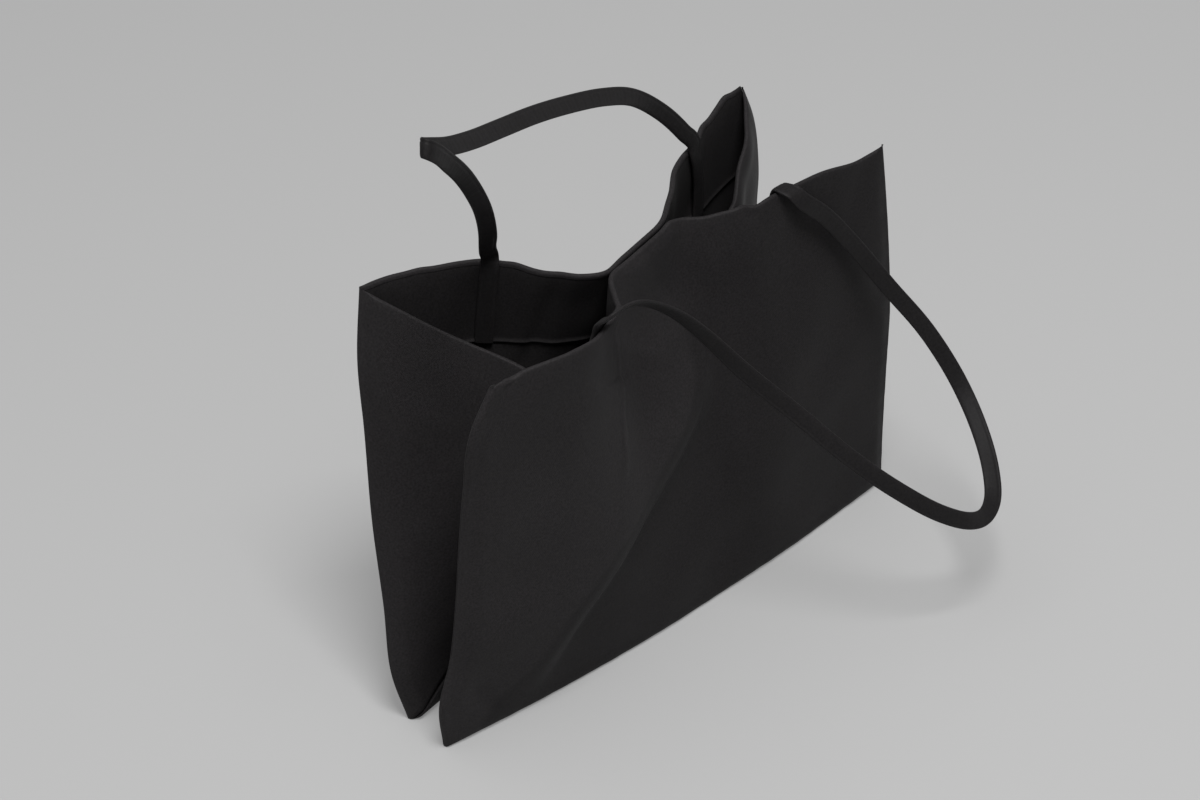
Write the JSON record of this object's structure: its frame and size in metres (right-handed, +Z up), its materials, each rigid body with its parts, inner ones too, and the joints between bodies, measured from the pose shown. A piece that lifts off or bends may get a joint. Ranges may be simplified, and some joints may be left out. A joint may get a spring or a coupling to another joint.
{
  "type": "tote bag",
  "caption": "Black satin tote bag with padded panels, folded gussets, a pleated base, a magnetic snap and narrow shoulder straps.",
  "frame": {"origin": "on the floor, below the middle of the box round the bag and its straps", "axes": "+Z up; +X along the bag's width, to the right seen from the front; the front faces -Y, the back +Y"},
  "size_m": [0.366, 0.2284, 0.4131],
  "materials": {
    "satin": "satin",
    "lining": "matte",
    "facing": "satin",
    "wadding": "matte",
    "strap_satin": "satin",
    "snap_steel": "satin",
    "magnet": "matte"
  },
  "bodies": {
    "bag": {"front_panel": "satin", "front_wadding": "wadding", "front_lining": "lining", "front_facing": "facing", "back_panel": "satin", "back_wadding": "wadding", "back_lining": "lining", "back_facing": "facing", "left_gusset": "satin", "left_gusset_wadding": "wadding", "left_gusset_lining": "lining", "left_gusset_facing": "facing", "right_gusset": "satin", "right_gusset_wadding": "wadding", "right_gusset_lining": "lining", "right_gusset_facing": "facing", "base_gusset": "satin", "base_wadding": "wadding", "base_lining": "lining", "front_strap_left_end": "strap_satin", "front_strap_right_end": "strap_satin", "back_strap_left_end": "strap_satin", "back_strap_right_end": "strap_satin", "snap_stud": "snap_steel", "snap_cup": "snap_steel", "snap_rivet": "snap_steel", "snap_magnet": "magnet", "front_snap_washer": "snap_steel", "back_snap_washer": "snap_steel"},
    "front_strap": {"front_strap": "strap_satin"},
    "back_strap": {"back_strap": "strap_satin"}
  },
  "joints": [
    {"name": "front_strap_swing", "type": "hinge", "parent": "bag", "child": "front_strap", "pos_m": [-0.07039, -0.00428, 0.25556], "axis": [-0.99, -0.1391, 0.0248], "range_deg": [0, 150]},
    {"name": "back_strap_swing", "type": "hinge", "parent": "bag", "child": "back_strap", "pos_m": [-0.06921, 0.08205, 0.24955], "axis": [-0.9999, 0.015, -0.0002], "range_deg": [-45, 85]}
  ]
}
